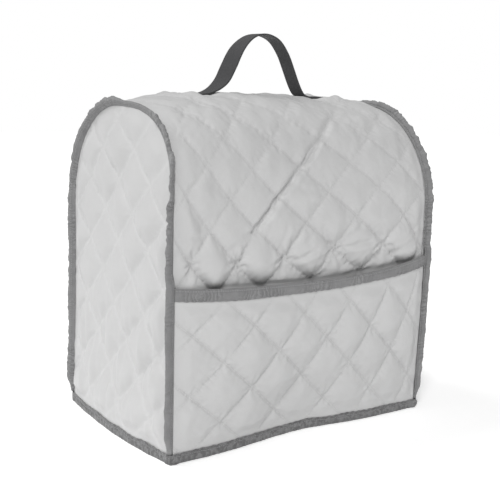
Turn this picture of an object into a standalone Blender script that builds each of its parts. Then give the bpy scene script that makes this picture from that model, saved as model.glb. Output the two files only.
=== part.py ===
"""A quilted dust cover for a stand mixer.

One long panel runs up the front, over the arched top and down the back, and two
panels with round tops close the sides. A pocket lies over the lower front. Bound
seams stand up along the side panels as a fin, tape binds the pocket's mouth and
the hem, and a webbing handle is sewn to the top.

Units are metres. X runs along the wide front, -Y is the front and +Z is up, with
the origin on the floor under the middle of the cover. Every piece is laid out in a
straight pattern frame first, and drape() then gives all of them the same sag.
"""

import math

import bmesh
import bpy
from mathutils import Vector

# Overall sizes, seam to seam
WIDTH = 0.376
DEPTH = 0.256
HEIGHT = 0.400
RADIUS = DEPTH / 2
SPRING = HEIGHT - RADIUS  # where the straight wall turns into the arch
ARCH = math.pi * RADIUS
GIRTH = 2 * SPRING + ARCH  # hem to hem, over the top

# Cloth and the diamonds that it is quilted in
CLOTH = 0.0025  # thickness along a stitched line
PUFF = 0.0032  # how far a diamond's middle stands above its stitched lines
DIAMOND_WIDE = 0.080
DIAMOND_TALL = 0.073
STEPS = 6  # mesh steps across a diamond on the outer face
LINING_STEPS = 3  # and on the plain inner face
FLAT_EDGE = 0.005  # cloth pressed flat along a seam
SOFT_EDGE = 0.020  # where the quilting is full again

# Small gaps between pieces that are sewn together
GAP = 0.0003
TAPE_GAP = 0.0005

# The shared sag of the whole cover
CROWN = 0.014  # the top rises between the side seams
SHOULDER = 0.015  # the left front shoulder is fuller than the arch
SHOULDER_IN = 0.004  # and its seam is drawn in
SIDE_BOW = 0.012  # the side hems bow outwards
FRONT_TUCK = 0.015  # the front hem is drawn in at its middle
FRONT_TUCK_WIDE = 0.50
BACK_TUCK = 0.005
HEM_REACH = 0.110  # how far up the hem's shape is felt
FLARE = 0.0035  # the lower left back corner leans out
CORNER_IN = 0.005  # and the lower right front corner leans in
CENTRE_Y = 0.0036  # puts the origin under the middle, the pocket and the fins counted

# Front panel
BELLY = 0.003  # the panel sags out over the pocket's mouth
BELLY_FROM = 0.002
BELLY_TALL = 0.115
MOUTH_PUFF = 0.4  # extra puff just above the mouth
BEHIND_POCKET = 0.3  # puff left where the pocket presses on the panel

# Pocket
POCKET_TOP = 0.205
POCKET_SAG = 0.009
POCKET_TILT = 0.0035
POCKET_STAND = 0.0018
POCKET_BULGE = 0.0135
STACK = POCKET_STAND + CLOTH  # from the panel's face to the pocket's face

# Tape
TAPE = 0.0010
BAND = 0.012  # visible width of the binding on the hem and the pocket
FIN = 0.0083  # how far the bound seam stands out
FIN_WOBBLE = 5  # degrees that the fin wanders to either side
FIN_THICK = 0.0052
FIN_FOOT = 0.0032  # how far its foot reaches over each panel
FIN_TAPER = 0.022  # the fin narrows above the hem
FIN_LEAN = {
    # share of the seam: degrees that the fin turns from sideways towards out of the long panel
    -1: ((0.0, 22), (0.30, 26), (0.36, 72), (0.46, 74), (0.56, 52), (0.75, 44), (1.0, 44)),
    1: ((0.0, 64), (0.30, 66), (0.45, 62), (0.60, 52), (1.0, 44)),
}
HEM_EDGE = TAPE + TAPE_GAP  # the panels end this far above the floor
UNDER_TAPE = BAND + 0.001 - HEM_EDGE  # cloth pressed flat under a band

# Handle
STRAP_WIDE = 0.025
STRAP_THICK = 0.0020
FOOT_GAP = 0.0006
FOOT_MIDDLE = 0.090
FOOT_DIP = 0.004  # the sewn feet pull the top down
FOOT_DIP_LONG = 0.024
FOOT_DIP_WIDE = 0.034
STRAP_STEP = 0.006

# The strap's loop: place along X and height over the crowned top
STRAP_LOOP = (
    # x, height
    (-0.104, 0.0),
    (-0.092, 0.0),
    (-0.080, 0.0),
    (-0.070, 0.0008),
    (-0.0580, 0.0055),
    (-0.0468, 0.0160),
    (-0.0372, 0.0335),
    (-0.0255, 0.0540),
    (-0.0090, 0.0685),
    (0.0100, 0.0725),
    (0.0290, 0.0660),
    (0.0430, 0.0500),
    (0.0525, 0.0315),
    (0.0610, 0.0140),
    (0.0700, 0.0025),
    (0.080, 0.0),
    (0.092, 0.0),
    (0.104, 0.0),
)

# Quilting: where one crossing of the stitched lines lies on each panel, and how far
# the lines lean for each metre of height
MAIN_CROSSING = (-0.040, 0.2285)
POCKET_CROSSING = (-0.080, 0.0735)
SIDE_CROSSING = (-0.016, 0.1185)
MAIN_LEAN = 0.0
POCKET_LEAN = -0.02
SIDE_LEAN = -0.10

# Colours: light grey cloth, mid grey tape, charcoal webbing
COLOURS = {
    "quilted_cloth": ((0.62, 0.62, 0.62), 0.72),
    "grey_tape": ((0.225, 0.225, 0.228), 0.78),
    "charcoal_webbing": ((0.055, 0.055, 0.058), 0.80),
}


def smooth_step(low, high, value):
    """0 below low, 1 above high and a smooth ramp between."""
    share = min(1.0, max(0.0, (value - low) / (high - low)))
    return share * share * (3 - 2 * share)


def bell(value, reach):
    return math.exp(-((value / reach) ** 2))


def between(knots, place):
    """Eases from knot to knot of a small table."""
    for (a, low), (b, high) in zip(knots, knots[1:]):
        if place <= b:
            return low + (high - low) * smooth_step(a, b, place)
    return knots[-1][1]


# Shape of the whole cover


def drape(point):
    """Moves a point of the pattern frame to where it hangs.

    The top is lifted between the seams, away from the arch's centre line. Near the
    floor the side hems bow out and the front and back hems are drawn in. Heights
    at the floor don't change, so the hem stands flat."""
    x, y, z = point
    across = min(1.0, abs(2 * x / WIDTH))
    along = min(1.0, abs(y / RADIUS))
    out_y, out_z = y, z - SPRING
    rise = math.hypot(out_y, out_z)
    up = out_z / rise if out_z > 0 else 0.0
    lift = CROWN * (1 - across**4) * up**2
    moved = Vector((x, y + lift * out_y / max(rise, RADIUS), z + lift * up))
    to_front, to_right = -y / RADIUS, 2 * x / WIDTH
    # Only the front half of the arch has a shoulder
    quarter = max(0.0, -2 * out_y * out_z / max(rise, RADIUS) ** 2) if out_z > 0 else 0.0
    fuller = quarter**2 * smooth_step(0.9, -1.0, to_right)
    moved += Vector((SHOULDER_IN * fuller, 0.0, 0.0))
    moved += Vector((0.0, out_y, out_z)) * (SHOULDER * fuller / max(rise, RADIUS))
    near_hem = bell(z, HEM_REACH)
    moved.x += math.copysign(SIDE_BOW * (1 - along**2) * across**3 * near_hem, x)
    drawn = BACK_TUCK if y > 0 else -FRONT_TUCK * bell(to_right, FRONT_TUCK_WIDE)
    moved.y -= drawn * (1 - across**2) * smooth_step(0.3, 1.0, along) * near_hem
    moved.x -= FLARE * smooth_step(0.2, 1.0, -to_front) * smooth_step(0.2, 1.0, -to_right) * near_hem
    moved.y += CORNER_IN * smooth_step(0.2, 1.0, to_front) * smooth_step(0.2, 1.0, to_right) * near_hem
    moved.y += CENTRE_Y
    return moved


def wrap(x, s, out):
    """The point of the long panel at x and at the girth s from the front hem, out from its face."""
    if s < SPRING:
        return Vector((x, -RADIUS - out, s))
    if s > SPRING + ARCH:
        return Vector((x, RADIUS + out, GIRTH - s))
    turn = (s - SPRING) / RADIUS
    reach = RADIUS + out
    return Vector((x, -reach * math.cos(turn), SPRING + reach * math.sin(turn)))


def mouth(x):
    """Height of the pocket's top edge, which sags between the seams."""
    t = max(-1.0, min(1.0, 2 * x / WIDTH))
    return POCKET_TOP + POCKET_TILT * t - POCKET_SAG * (1 - t * t)


def diamond(u, v):
    """Height of the quilting, from 0 on a stitched line to 1 in a diamond's middle."""
    one = u / DIAMOND_WIDE + v / DIAMOND_TALL
    two = u / DIAMOND_WIDE - v / DIAMOND_TALL
    return abs(math.sin(math.pi * one) * math.sin(math.pi * two)) ** 0.8


def edge_fade(distance):
    """The quilting is pressed flat along a sewn edge."""
    return smooth_step(FLAT_EDGE, SOFT_EDGE, distance)


def foot_pull(x, s):
    """1 under the middle of a sewn foot of the handle, fading to 0 round it."""
    from_top = s - GIRTH / 2
    return bell(abs(x) - FOOT_MIDDLE, FOOT_DIP_LONG) * bell(from_top, FOOT_DIP_WIDE)


def main_swell(x, s):
    """How far the long panel itself stands out: a belly over the pocket, dips at the handle's feet."""
    from_seam = WIDTH / 2 - abs(x)
    t = (s - mouth(x) - BELLY_FROM) / BELLY_TALL
    belly = BELLY * math.sin(math.pi * t**0.75) if 0 < t < 1 else 0.0
    return belly * smooth_step(0.0, 0.06, from_seam) - FOOT_DIP * foot_pull(x, s)


def main_puff(x, s):
    """Height of the long panel's quilting over its stitched lines."""
    over = s - mouth(x)
    scale = BEHIND_POCKET + (1 - BEHIND_POCKET) * smooth_step(-0.004, 0.014, over)
    scale += MOUTH_PUFF * smooth_step(0.002, 0.018, over) * bell(over - 0.024, 0.026)
    edge = min(WIDTH / 2 - abs(x), min(s, GIRTH - s) - UNDER_TAPE)
    sewn = smooth_step(0.25, 0.75, foot_pull(x, s))
    u, v = x - MAIN_CROSSING[0], s - MAIN_CROSSING[1]
    return PUFF * scale * edge_fade(edge) * (1 - sewn) * diamond(u - MAIN_LEAN * v, v)


def pocket_stand(x, z):
    """How far the pocket's inner face is from the long panel's face."""
    t = 2 * x / WIDTH
    return POCKET_STAND + POCKET_BULGE * (1 - t**4) * smooth_step(-0.2, 1.0, z / mouth(x)) * (
        smooth_step(0.0, 0.45, z / mouth(x))
    )


def pocket_puff(x, z):
    edge = min(WIDTH / 2 - abs(x), z - UNDER_TAPE, mouth(x) - z - UNDER_TAPE)
    u, v = x - POCKET_CROSSING[0], z - POCKET_CROSSING[1]
    return PUFF * edge_fade(edge) * diamond(u - POCKET_LEAN * v, v)


def half_depth(z):
    """Half the side panel's width at the height z."""
    if z <= SPRING:
        return RADIUS
    return math.sqrt(max(0.0, RADIUS**2 - (z - SPRING) ** 2))


def side_puff(y, z):
    edge = min(z - UNDER_TAPE, RADIUS - math.hypot(y, max(0.0, z - SPRING)))
    u, v = y - SIDE_CROSSING[0], z - SIDE_CROSSING[1]
    return PUFF * edge_fade(edge) * diamond(u - SIDE_LEAN * v, v)


# Mesh tools


def stops(low, high, phase, pitch, low_rim=FLAT_EDGE, high_rim=FLAT_EDGE):
    """The ends, a stop one rim inside each, and every phase + k * pitch clear of them."""
    first = math.ceil((low + low_rim + pitch / 3 - phase) / pitch)
    last = math.floor((high - high_rim - pitch / 3 - phase) / pitch)
    inner = [phase + k * pitch for k in range(first, last + 1)]
    return [low, low + low_rim] + inner + [high - high_rim, high]


class Shell:
    """Collects points and triangles of one closed sheet."""

    def __init__(self):
        self.points = []
        self.heights = []
        self.faces = []

    def row(self, points, heights=None, hang=drape):
        """Adds a row of points and returns their numbers."""
        first = len(self.points)
        self.points += [hang(p) for p in points]
        self.heights += heights or [0.0] * len(points)
        return list(range(first, len(self.points)))

    def cost(self, a, b):
        """Length of an edge, with valleys counted as shorter, so that edges follow the stitched lines."""
        long = (self.points[a] - self.points[b]).length
        return long + 2 * (self.heights[a] + self.heights[b])

    def join(self, lower, upper):
        """Triangles between two rows, which may hold different numbers of points."""
        i = j = 0
        while i < len(lower) - 1 or j < len(upper) - 1:
            if j == len(upper) - 1:
                on_lower = True
            elif i == len(lower) - 1:
                on_lower = False
            else:
                on_lower = self.cost(lower[i + 1], upper[j]) <= self.cost(lower[i], upper[j + 1])
            if on_lower:
                self.faces.append((lower[i], lower[i + 1], upper[j]))
                i += 1
            else:
                self.faces.append((lower[i], upper[j + 1], upper[j]))
                j += 1

    def face_of(self, rows):
        """Joins the rows and returns the closed border of the face they make."""
        for lower, upper in zip(rows, rows[1:]):
            self.join(lower, upper)
        border = rows[0] + [r[-1] for r in rows[1:]] + rows[-1][-2::-1] + [r[0] for r in rows[-2::-1]]
        return [n for k, n in enumerate(border) if k == 0 or n != border[k - 1]]

    def close(self, outer_rows, inner_rows):
        """Makes both faces and the rim between them."""
        self.join(self.face_of(inner_rows), self.face_of(outer_rows))

    def tube(self, sections, hang=drape):
        """A closed strip through equal sections, with both ends capped."""
        rows = [self.row(section, hang=hang) for section in sections]
        for one, two in zip(rows, rows[1:]):
            for k in range(len(one)):
                after = (k + 1) % len(one)
                self.faces.append((one[k], one[after], two[after], two[k]))
        self.faces.append(tuple(reversed(rows[0])))
        self.faces.append(tuple(rows[-1]))

    def ring(self, sections):
        """A closed strip through equal sections, whose last one joins the first."""
        rows = [self.row(section) for section in sections]
        for one, two in zip(rows, rows[1:] + rows[:1]):
            for k in range(len(one)):
                after = (k + 1) % len(one)
                self.faces.append((one[k], one[after], two[after], two[k]))


def paint(obj, name):
    """Gives the object its cloth, tape or webbing material."""
    material = bpy.data.materials.get(name) or bpy.data.materials.new(name)
    material.use_nodes = True
    shader = material.node_tree.nodes["Principled BSDF"]
    colour, roughness = COLOURS[name]
    shader.inputs["Base Color"].default_value = (*colour, 1.0)
    shader.inputs["Roughness"].default_value = roughness
    shader.inputs["Metallic"].default_value = 0.0
    material.diffuse_color = (*colour, 1.0)
    obj.data.materials.append(material)


def piece(name, shell, material, cover):
    """Makes the object from its shell and hangs it on the cover's empty."""
    mesh = bpy.data.meshes.new(name)
    mesh.from_pydata([tuple(p) for p in shell.points], [], shell.faces)
    work = bmesh.new()
    work.from_mesh(mesh)
    bmesh.ops.recalc_face_normals(work, faces=work.faces)
    work.to_mesh(mesh)
    work.free()
    mesh.shade_smooth()
    mesh.set_sharp_from_angle(angle=math.radians(50))
    obj = bpy.data.objects.new(name, mesh)
    bpy.context.scene.collection.objects.link(obj)
    obj.parent = cover
    paint(obj, material)
    return obj


# Panels


def long_panel():
    """Front, top and back in one piece of quilted cloth."""
    shell = Shell()

    def face(steps, quilted):
        rows = []
        rim = UNDER_TAPE if quilted else FLAT_EDGE
        for s in stops(HEM_EDGE, GIRTH - HEM_EDGE, MAIN_CROSSING[1], DIAMOND_TALL / steps, rim, rim):
            lean = MAIN_LEAN * (s - MAIN_CROSSING[1])
            across = stops(-WIDTH / 2, WIDTH / 2, MAIN_CROSSING[0] + lean, DIAMOND_WIDE / steps)
            puffs = [main_puff(x, s) if quilted else 0.0 for x in across]
            base = 0.0 if quilted else -CLOTH
            points = [wrap(x, s, base + main_swell(x, s) + h) for x, h in zip(across, puffs)]
            rows.append(shell.row(points, puffs))
        return rows

    shell.close(face(STEPS, True), face(LINING_STEPS, False))
    return shell


def side_panel(side):
    """One D-shaped side; side is -1 on the left and 1 on the right."""
    shell = Shell()
    last_level = SPRING + 0.80 * RADIUS
    arc_turns = (60, 68, 76, 83, 90)

    def face(steps, quilted):
        rows = []
        levels = stops(HEM_EDGE, last_level, SIDE_CROSSING[1], DIAMOND_TALL / steps, UNDER_TAPE)
        levels += [SPRING + RADIUS * math.sin(math.radians(turn)) for turn in arc_turns]
        for z in levels:
            half = half_depth(z)
            lean = SIDE_LEAN * (z - SIDE_CROSSING[1])
            pitch = DIAMOND_WIDE / steps
            across = stops(-half, half, SIDE_CROSSING[0] + lean, pitch) if half > pitch else [-half, 0.0, half]
            if half < GAP:
                across = [0.0]
            puffs = [side_puff(y, z) if quilted else 0.0 for y in across]
            base = WIDTH / 2 + GAP + (CLOTH if quilted else 0.0)
            points = [Vector((side * (base + h), y, z)) for y, h in zip(across, puffs)]
            rows.append(shell.row(points, puffs))
        return rows

    shell.close(face(STEPS, True), face(LINING_STEPS, False))
    return shell


def pocket_panel():
    """The pocket's quilted cloth, from the hem to its sagging mouth."""
    shell = Shell()
    half = WIDTH / 2 - GAP

    def face(steps, quilted):
        rows = []
        levels = stops(HEM_EDGE, POCKET_TOP, POCKET_CROSSING[1], DIAMOND_TALL / steps, UNDER_TAPE, UNDER_TAPE)
        for level in levels:
            lean = POCKET_LEAN * (level - POCKET_CROSSING[1])
            across = stops(-half, half, POCKET_CROSSING[0] + lean, DIAMOND_WIDE / steps)
            # The upper rows bend down with the mouth
            heights = [
                level + (mouth(x) - POCKET_TOP) * smooth_step(0.6, 1.0, level / POCKET_TOP) for x in across
            ]
            puffs = [pocket_puff(x, z) if quilted else 0.0 for x, z in zip(across, heights)]
            base = CLOTH if quilted else 0.0
            points = [
                Vector((x, -RADIUS - pocket_stand(x, z) - base - h, z))
                for x, z, h in zip(across, heights, puffs)
            ]
            rows.append(shell.row(points, puffs))
        return rows

    shell.close(face(STEPS, True), face(LINING_STEPS, False))
    return shell


# Bindings


def channel(inner, outer, leg, fold):
    """Eight corners of a tape folded over an edge, as (out, up), from the legs' ends to the fold."""
    bend = fold + math.copysign(TAPE, leg - fold)
    return (
        (outer + TAPE_GAP + TAPE, leg),
        (outer + TAPE_GAP + TAPE, fold),
        (inner - TAPE_GAP - TAPE, fold),
        (inner - TAPE_GAP - TAPE, leg),
        (inner - TAPE_GAP, leg),
        (inner - TAPE_GAP, bend),
        (outer + TAPE_GAP, bend),
        (outer + TAPE_GAP, leg),
    )


def pocket_binding():
    """Tape folded over the pocket's mouth, between the two seams."""
    shell = Shell()
    half = WIDTH / 2 - FIN_FOOT - 2 * GAP
    sections = []
    for x in stops(-half, half, POCKET_CROSSING[0], DIAMOND_WIDE / STEPS):
        top = mouth(x)
        section = []
        for out, down in channel(0.0, CLOTH, -BAND, TAPE_GAP + TAPE):
            z = top + down
            stand = pocket_stand(x, min(z, top))
            section.append(Vector((x, -RADIUS - stand - out, z)))
        sections.append(section)
    shell.tube(sections)
    return shell


def hem_binding():
    """Tape folded over the bottom edge, all the way round, with its fold flat on the floor."""
    shell = Shell()
    front = channel(-CLOTH, STACK, BAND, 0.0)
    back = channel(-CLOTH, 0.0, BAND, 0.0)
    side = channel(GAP, GAP + CLOTH, BAND, 0.0)
    across = [x / (WIDTH / 2) for x in stops(-WIDTH / 2, WIDTH / 2, 0.0, DIAMOND_WIDE / LINING_STEPS)]
    along = [y / RADIUS for y in stops(-RADIUS, RADIUS, 0.0, DIAMOND_WIDE / LINING_STEPS)]

    def corner_box(k):
        """Half width, front and back of the rectangle that corner k of the fold runs on."""
        return WIDTH / 2 + side[k][0], -RADIUS - front[k][0], RADIUS + back[k][0]

    def section(place):
        """place gives x and y on a rectangle from its half width, front and back."""
        return [Vector((*place(*corner_box(k)), front[k][1])) for k in range(len(front))]

    def along_side(side_sign, t):
        return lambda half, near, far: (side_sign * half, near + (far - near) * (t + 1) / 2)

    sections = [section(lambda half, near, far, t=t: (t * half, near)) for t in across[:-1]]
    sections += [section(along_side(1, t)) for t in along[:-1]]
    sections += [section(lambda half, near, far, t=t: (-t * half, far)) for t in across[:-1]]
    sections += [section(along_side(-1, -t)) for t in along[:-1]]
    shell.ring(sections)
    return shell


def seam_binding(side):
    """The bound seam that stands out between a side panel and the long panel.

    Its section is a kite that straddles the corner of the two panels, and its tip
    wanders a little as a puckered tape does."""
    shell = Shell()
    start = BAND + GAP
    sections = []
    for s in stops(start, GIRTH - start, MAIN_CROSSING[1], DIAMOND_TALL / STEPS):
        seam_mouth = mouth(side * WIDTH / 2)
        raised = STACK * (1 - smooth_step(seam_mouth + 0.006, seam_mouth + 0.020, s))
        taper = smooth_step(0.0, FIN_TAPER, min(s, GIRTH - s) - start)
        wobble = FIN_WOBBLE * (math.sin(s / 0.031 + side) + 0.6 * math.sin(s / 0.013))
        lean = math.radians(between(FIN_LEAN[side], s / GIRTH) + wobble)
        long = FIN * (0.30 + 0.70 * taper) * (1 + 0.05 * math.sin(s / 0.017 + 2 * side))
        tip = Vector((math.cos(lean), math.sin(lean))) * long
        thick = Vector((-math.sin(lean), math.cos(lean))) * FIN_THICK / 2
        tip.y += raised / 2
        nose = tip + Vector((math.cos(lean), math.sin(lean))) * TAPE
        corners = (
            (GAP, -FIN_FOOT),
            tuple(tip - thick * 0.8),
            tuple(nose),
            tuple(tip + thick * 0.8),
            (-FIN_FOOT, raised + GAP),
            (GAP, raised + GAP),
        )
        face = WIDTH / 2 + GAP + CLOTH
        section = [wrap(side * (face + a), s, b) for a, b in corners]
        sections.append(section)
    shell.tube(sections)
    return shell


# Handle


def loop_points():
    """A smooth curve through STRAP_LOOP, by Catmull-Rom spans."""
    knots = [Vector(p) for p in STRAP_LOOP]
    ends = [2 * knots[0] - knots[1]] + knots + [2 * knots[-1] - knots[-2]]
    points = []
    for a, b, c, d in zip(ends, ends[1:], ends[2:], ends[3:]):
        pieces = max(1, round((c - b).length / STRAP_STEP))
        for k in range(pieces):
            t = k / pieces
            points.append(
                0.5 * (2 * b + (c - a) * t + (2 * a - 5 * b + 4 * c - d) * t**2 + (3 * b - a - 3 * c + d) * t**3)
            )
    return points + [knots[-1]]


def handle():
    """Webbing in a loop over the top, its two ends sewn down flat."""
    shell = Shell()
    path = loop_points()
    sections = []
    for k, point in enumerate(path):
        before, after = path[max(k - 1, 0)], path[min(k + 1, len(path) - 1)]
        run = (after - before).normalized()
        up = Vector((-run.y, run.x))
        sunk = main_swell(point.x, GIRTH / 2) * smooth_step(0.02, 0.0, point.y)
        base = drape(Vector((point.x, 0.0, HEIGHT + FOOT_GAP + max(point.y, 0.0) + sunk)))
        section = []
        for wide, thick in ((-1, 0), (1, 0), (1, 1), (-1, 1)):
            lift = up * STRAP_THICK * thick
            section.append(base + Vector((lift.x, wide * STRAP_WIDE / 2, lift.y)))
        sections.append(section)
    shell.tube(sections, hang=Vector)
    return shell


def main():
    for obj in list(bpy.data.objects):
        bpy.data.objects.remove(obj)
    cover = bpy.data.objects.new("mixer_cover", None)
    bpy.context.scene.collection.objects.link(cover)
    piece("long_panel", long_panel(), "quilted_cloth", cover)
    piece("side_panel_left", side_panel(-1), "quilted_cloth", cover)
    piece("side_panel_right", side_panel(1), "quilted_cloth", cover)
    piece("pocket_panel", pocket_panel(), "quilted_cloth", cover)
    piece("pocket_binding", pocket_binding(), "grey_tape", cover)
    piece("seam_binding_left", seam_binding(-1), "grey_tape", cover)
    piece("seam_binding_right", seam_binding(1), "grey_tape", cover)
    piece("hem_binding", hem_binding(), "grey_tape", cover)
    piece("handle", handle(), "charcoal_webbing", cover)


main()
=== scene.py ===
"""The finished look of a quilted dust cover for a stand mixer.

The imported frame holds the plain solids. This file lays the quilted cloth, the bound
seams, the tapes and the webbing handle over them and sets up the stage. Lengths are
in metres. X runs along the wide front, -Y is the front and +Z is up.
"""

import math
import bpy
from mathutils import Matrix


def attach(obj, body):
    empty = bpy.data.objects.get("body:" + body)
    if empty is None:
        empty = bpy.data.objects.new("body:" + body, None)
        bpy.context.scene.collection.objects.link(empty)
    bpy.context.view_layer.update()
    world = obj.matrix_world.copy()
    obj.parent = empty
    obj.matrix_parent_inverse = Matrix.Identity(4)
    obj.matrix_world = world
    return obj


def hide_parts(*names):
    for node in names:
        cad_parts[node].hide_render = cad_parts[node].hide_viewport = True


bl_info = {
    "name": "Quilted mixer cover",
    "version": (1, 0, 0),
    "blender": (4, 5, 0),
    "location": "3D View > Sidebar > Mixer Cover",
    "description": "Lays quilted cloth, tape and webbing over the mixer cover's frame",
    "category": "Add Mesh",
}

import bpy
import numpy as np
from bpy.props import FloatProperty, FloatVectorProperty, PointerProperty
from mathutils import Matrix, Vector

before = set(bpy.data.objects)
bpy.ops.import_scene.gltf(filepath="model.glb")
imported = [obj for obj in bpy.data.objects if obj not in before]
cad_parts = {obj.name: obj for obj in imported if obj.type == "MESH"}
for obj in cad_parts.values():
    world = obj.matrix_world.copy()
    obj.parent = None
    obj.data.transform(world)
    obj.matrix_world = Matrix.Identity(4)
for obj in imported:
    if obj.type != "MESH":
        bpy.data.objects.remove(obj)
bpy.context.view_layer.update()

# Sizes shared with the solids, seam to seam
WIDTH = 0.376
DEPTH = 0.256
HEIGHT = 0.400
RADIUS = DEPTH / 2
SPRING = HEIGHT - RADIUS
ARCH = math.pi * RADIUS
GIRTH = 2 * SPRING + ARCH
CLOTH = 0.0025
GAP = 0.0003
CENTRE_Y = 0.0036

# The shared sag
CROWN = 0.014
SHOULDER = 0.015
SHOULDER_IN = 0.004
SIDE_BOW = 0.012
FRONT_TUCK = 0.015
FRONT_TUCK_WIDE = 0.50
BACK_TUCK = 0.005
HEM_REACH = 0.110
FLARE = 0.0035
CORNER_IN = 0.005

# The pocket and its mouth, which gives way a little right of its middle
POCKET_TOP = 0.205
POCKET_SAG = 0.009
POCKET_TILT = 0.0035
MOUTH_DIP = 0.0024
MOUTH_DIP_AT = 0.060
MOUTH_DIP_WIDE = 0.075
POCKET_STAND = 0.0018
POCKET_BULGE = 0.0135
STACK = POCKET_STAND + CLOTH
BELLY_FROM = 0.002
BELLY_TALL = 0.115

# Tapes, fins and webbing
TAPE = 0.0010
TAPE_GAP = 0.0005
BAND = 0.012
FIN = 0.0083
FIN_THICK = 0.0052
FIN_FOOT = 0.0032
FIN_TAPER = 0.022
# Degrees that a fin leans, by side and by the share of the girth
FIN_LEAN = {
    -1: ((0.0, 22), (0.30, 26), (0.36, 72), (0.46, 74), (0.56, 52), (0.75, 44), (1.0, 44)),
    1: ((0.0, 64), (0.30, 66), (0.45, 62), (0.60, 52), (1.0, 44)),
}
FIN_PINCHES = (
    # up the left seam, how hard its tape is pinched there
    (0.262, 0.5),
    (0.276, 1.0),
    (0.306, 0.5),
    (0.331, 0.7),
    (0.349, 1.0),
    (0.362, 0.7),
    (0.378, 0.6),
    (0.396, 0.6),
)
FIN_PINCH_LONG = 0.0022
HEM_EDGE = TAPE + TAPE_GAP
CORNER_BULGE = 0.0018
UNDER_TAPE = BAND + 0.001 - HEM_EDGE
STRAP_WIDE = 0.025
STRAP_THICK = 0.0020
FOOT_GAP = 0.0006
FOOT_MIDDLE = 0.090
FOOT_DIP = 0.004
FOOT_DIP_LONG = 0.024
FOOT_DIP_WIDE = 0.034
STRAP_LOOP = (
    # from the middle, up from the cloth
    (-0.104, 0.0),
    (-0.092, 0.0),
    (-0.080, 0.0),
    (-0.070, 0.0008),
    (-0.0580, 0.0055),
    (-0.0468, 0.0160),
    (-0.0372, 0.0335),
    (-0.0255, 0.0540),
    (-0.0090, 0.0685),
    (0.0100, 0.0725),
    (0.0290, 0.0660),
    (0.0430, 0.0500),
    (0.0525, 0.0315),
    (0.0610, 0.0140),
    (0.0700, 0.0025),
    (0.080, 0.0),
    (0.092, 0.0),
    (0.104, 0.0),
)


# Small tools for shaping


def smooth_step(low, high, value):
    """0 below low, 1 above high, and 3t^2 - 2t^3 of the share t between."""
    share = np.clip((value - low) / (high - low), 0.0, 1.0)
    return share * share * (3 - 2 * share)


def bell(value, reach):
    """e to the power of -(value / reach)^2."""
    return np.exp(-((value / reach) ** 2))


def between(knots, place):
    """Eases from knot to knot of a small table, for a whole array of places."""
    places, values = np.array(knots, dtype=float).T
    k = np.clip(np.searchsorted(places, place) - 1, 0, len(places) - 2)
    return values[k] + (values[k + 1] - values[k]) * smooth_step(places[k], places[k + 1], place)


def ripples(u, v, length, seed, waves=9):
    """A sum of sine waves of about the given length in seeded directions, mostly in -1 to 1."""
    dice = np.random.default_rng(seed)
    total = 0.0
    for _ in range(waves):
        turn, phase = dice.uniform(0, 2 * math.pi, 2)
        rate = 2 * math.pi / (length * dice.uniform(0.7, 1.5))
        total = total + np.sin(rate * (u * math.cos(turn) + v * math.sin(turn)) + phase)
    return total * math.sqrt(2 / waves) / 1.6


def line_ripples(run, length, seed, lane=0.0):
    """Ripples along one line. Lines in other lanes have other ripples."""
    return ripples(run, run * 0 + lane, length, seed)


def chance(i, j):
    """A fixed number from 0 to 1 for each pair of whole numbers."""
    return np.modf(np.abs(np.sin(i * 12.9898 + j * 78.233) * 43758.5453))[0]


def drape(x, y, z):
    """Moves points of the straight pattern frame to where the cover's shared sag hangs them.

    The top lifts between the seams, the left front shoulder is fuller, the side hems
    bow out and the front and back hems are drawn in, as in the solids."""
    across = np.minimum(1.0, np.abs(2 * x / WIDTH))
    along = np.minimum(1.0, np.abs(y / RADIUS))
    out_y, out_z = y, z - SPRING
    rise = np.maximum(np.hypot(out_y, out_z), 1e-9)
    wide = np.maximum(rise, RADIUS)
    up = np.where(out_z > 0, out_z / rise, 0.0)
    lift = CROWN * (1 - across**4) * up**2
    to_front, to_right = -y / RADIUS, 2 * x / WIDTH
    quarter = np.where(out_z > 0, np.maximum(0.0, -2 * out_y * out_z / wide**2), 0.0)
    fuller = quarter**2 * smooth_step(0.9, -1.0, to_right)
    near_hem = bell(z, HEM_REACH)
    new_x = x + SHOULDER_IN * fuller
    new_x = new_x + np.sign(x) * SIDE_BOW * (1 - along**2) * across**3 * near_hem
    left_back = smooth_step(0.2, 1.0, -to_front) * smooth_step(0.2, 1.0, -to_right)
    right_front = smooth_step(0.2, 1.0, to_front) * smooth_step(0.2, 1.0, to_right)
    new_x = new_x - FLARE * left_back * near_hem
    new_y = y + lift * out_y / wide + SHOULDER * fuller * out_y / wide
    drawn = np.where(y > 0, BACK_TUCK, -FRONT_TUCK * bell(to_right, FRONT_TUCK_WIDE))
    new_y = new_y - drawn * (1 - across**2) * smooth_step(0.3, 1.0, along) * near_hem
    new_y = new_y + CORNER_IN * right_front * near_hem
    new_z = z + lift * up + SHOULDER * fuller * out_z / wide
    return np.stack([new_x, new_y + CENTRE_Y, new_z], axis=-1)


def wrap(x, s, out):
    """Place of the long panel in the pattern frame.

    s is the girth up from the front hem and out the distance from the panel's face. The panel
    runs straight up the front, round the half circle of the top and straight down the back."""
    turn = np.clip((s - SPRING) / RADIUS, 0.0, math.pi)
    reach = RADIUS + out
    y = -reach * np.cos(turn)
    on_arch = SPRING + reach * np.sin(turn)
    z = np.where(s < SPRING, s, np.where(s > SPRING + ARCH, GIRTH - s, on_arch))
    return x, y, z


def mouth_dip(x):
    """Depth of the mouth's dip at x."""
    return MOUTH_DIP * bell(x - MOUTH_DIP_AT, MOUTH_DIP_WIDE)


def mouth(x):
    """Height of the pocket's top edge: a parabola between the seams plus a small tilt and a dip."""
    t = np.clip(2 * x / WIDTH, -1.0, 1.0)
    return POCKET_TOP + POCKET_TILT * t - POCKET_SAG * (1 - t * t) - mouth_dip(x)


def from_seam(x):
    """Distance to the nearer bound seam."""
    return WIDTH / 2 - np.abs(x)


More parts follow.
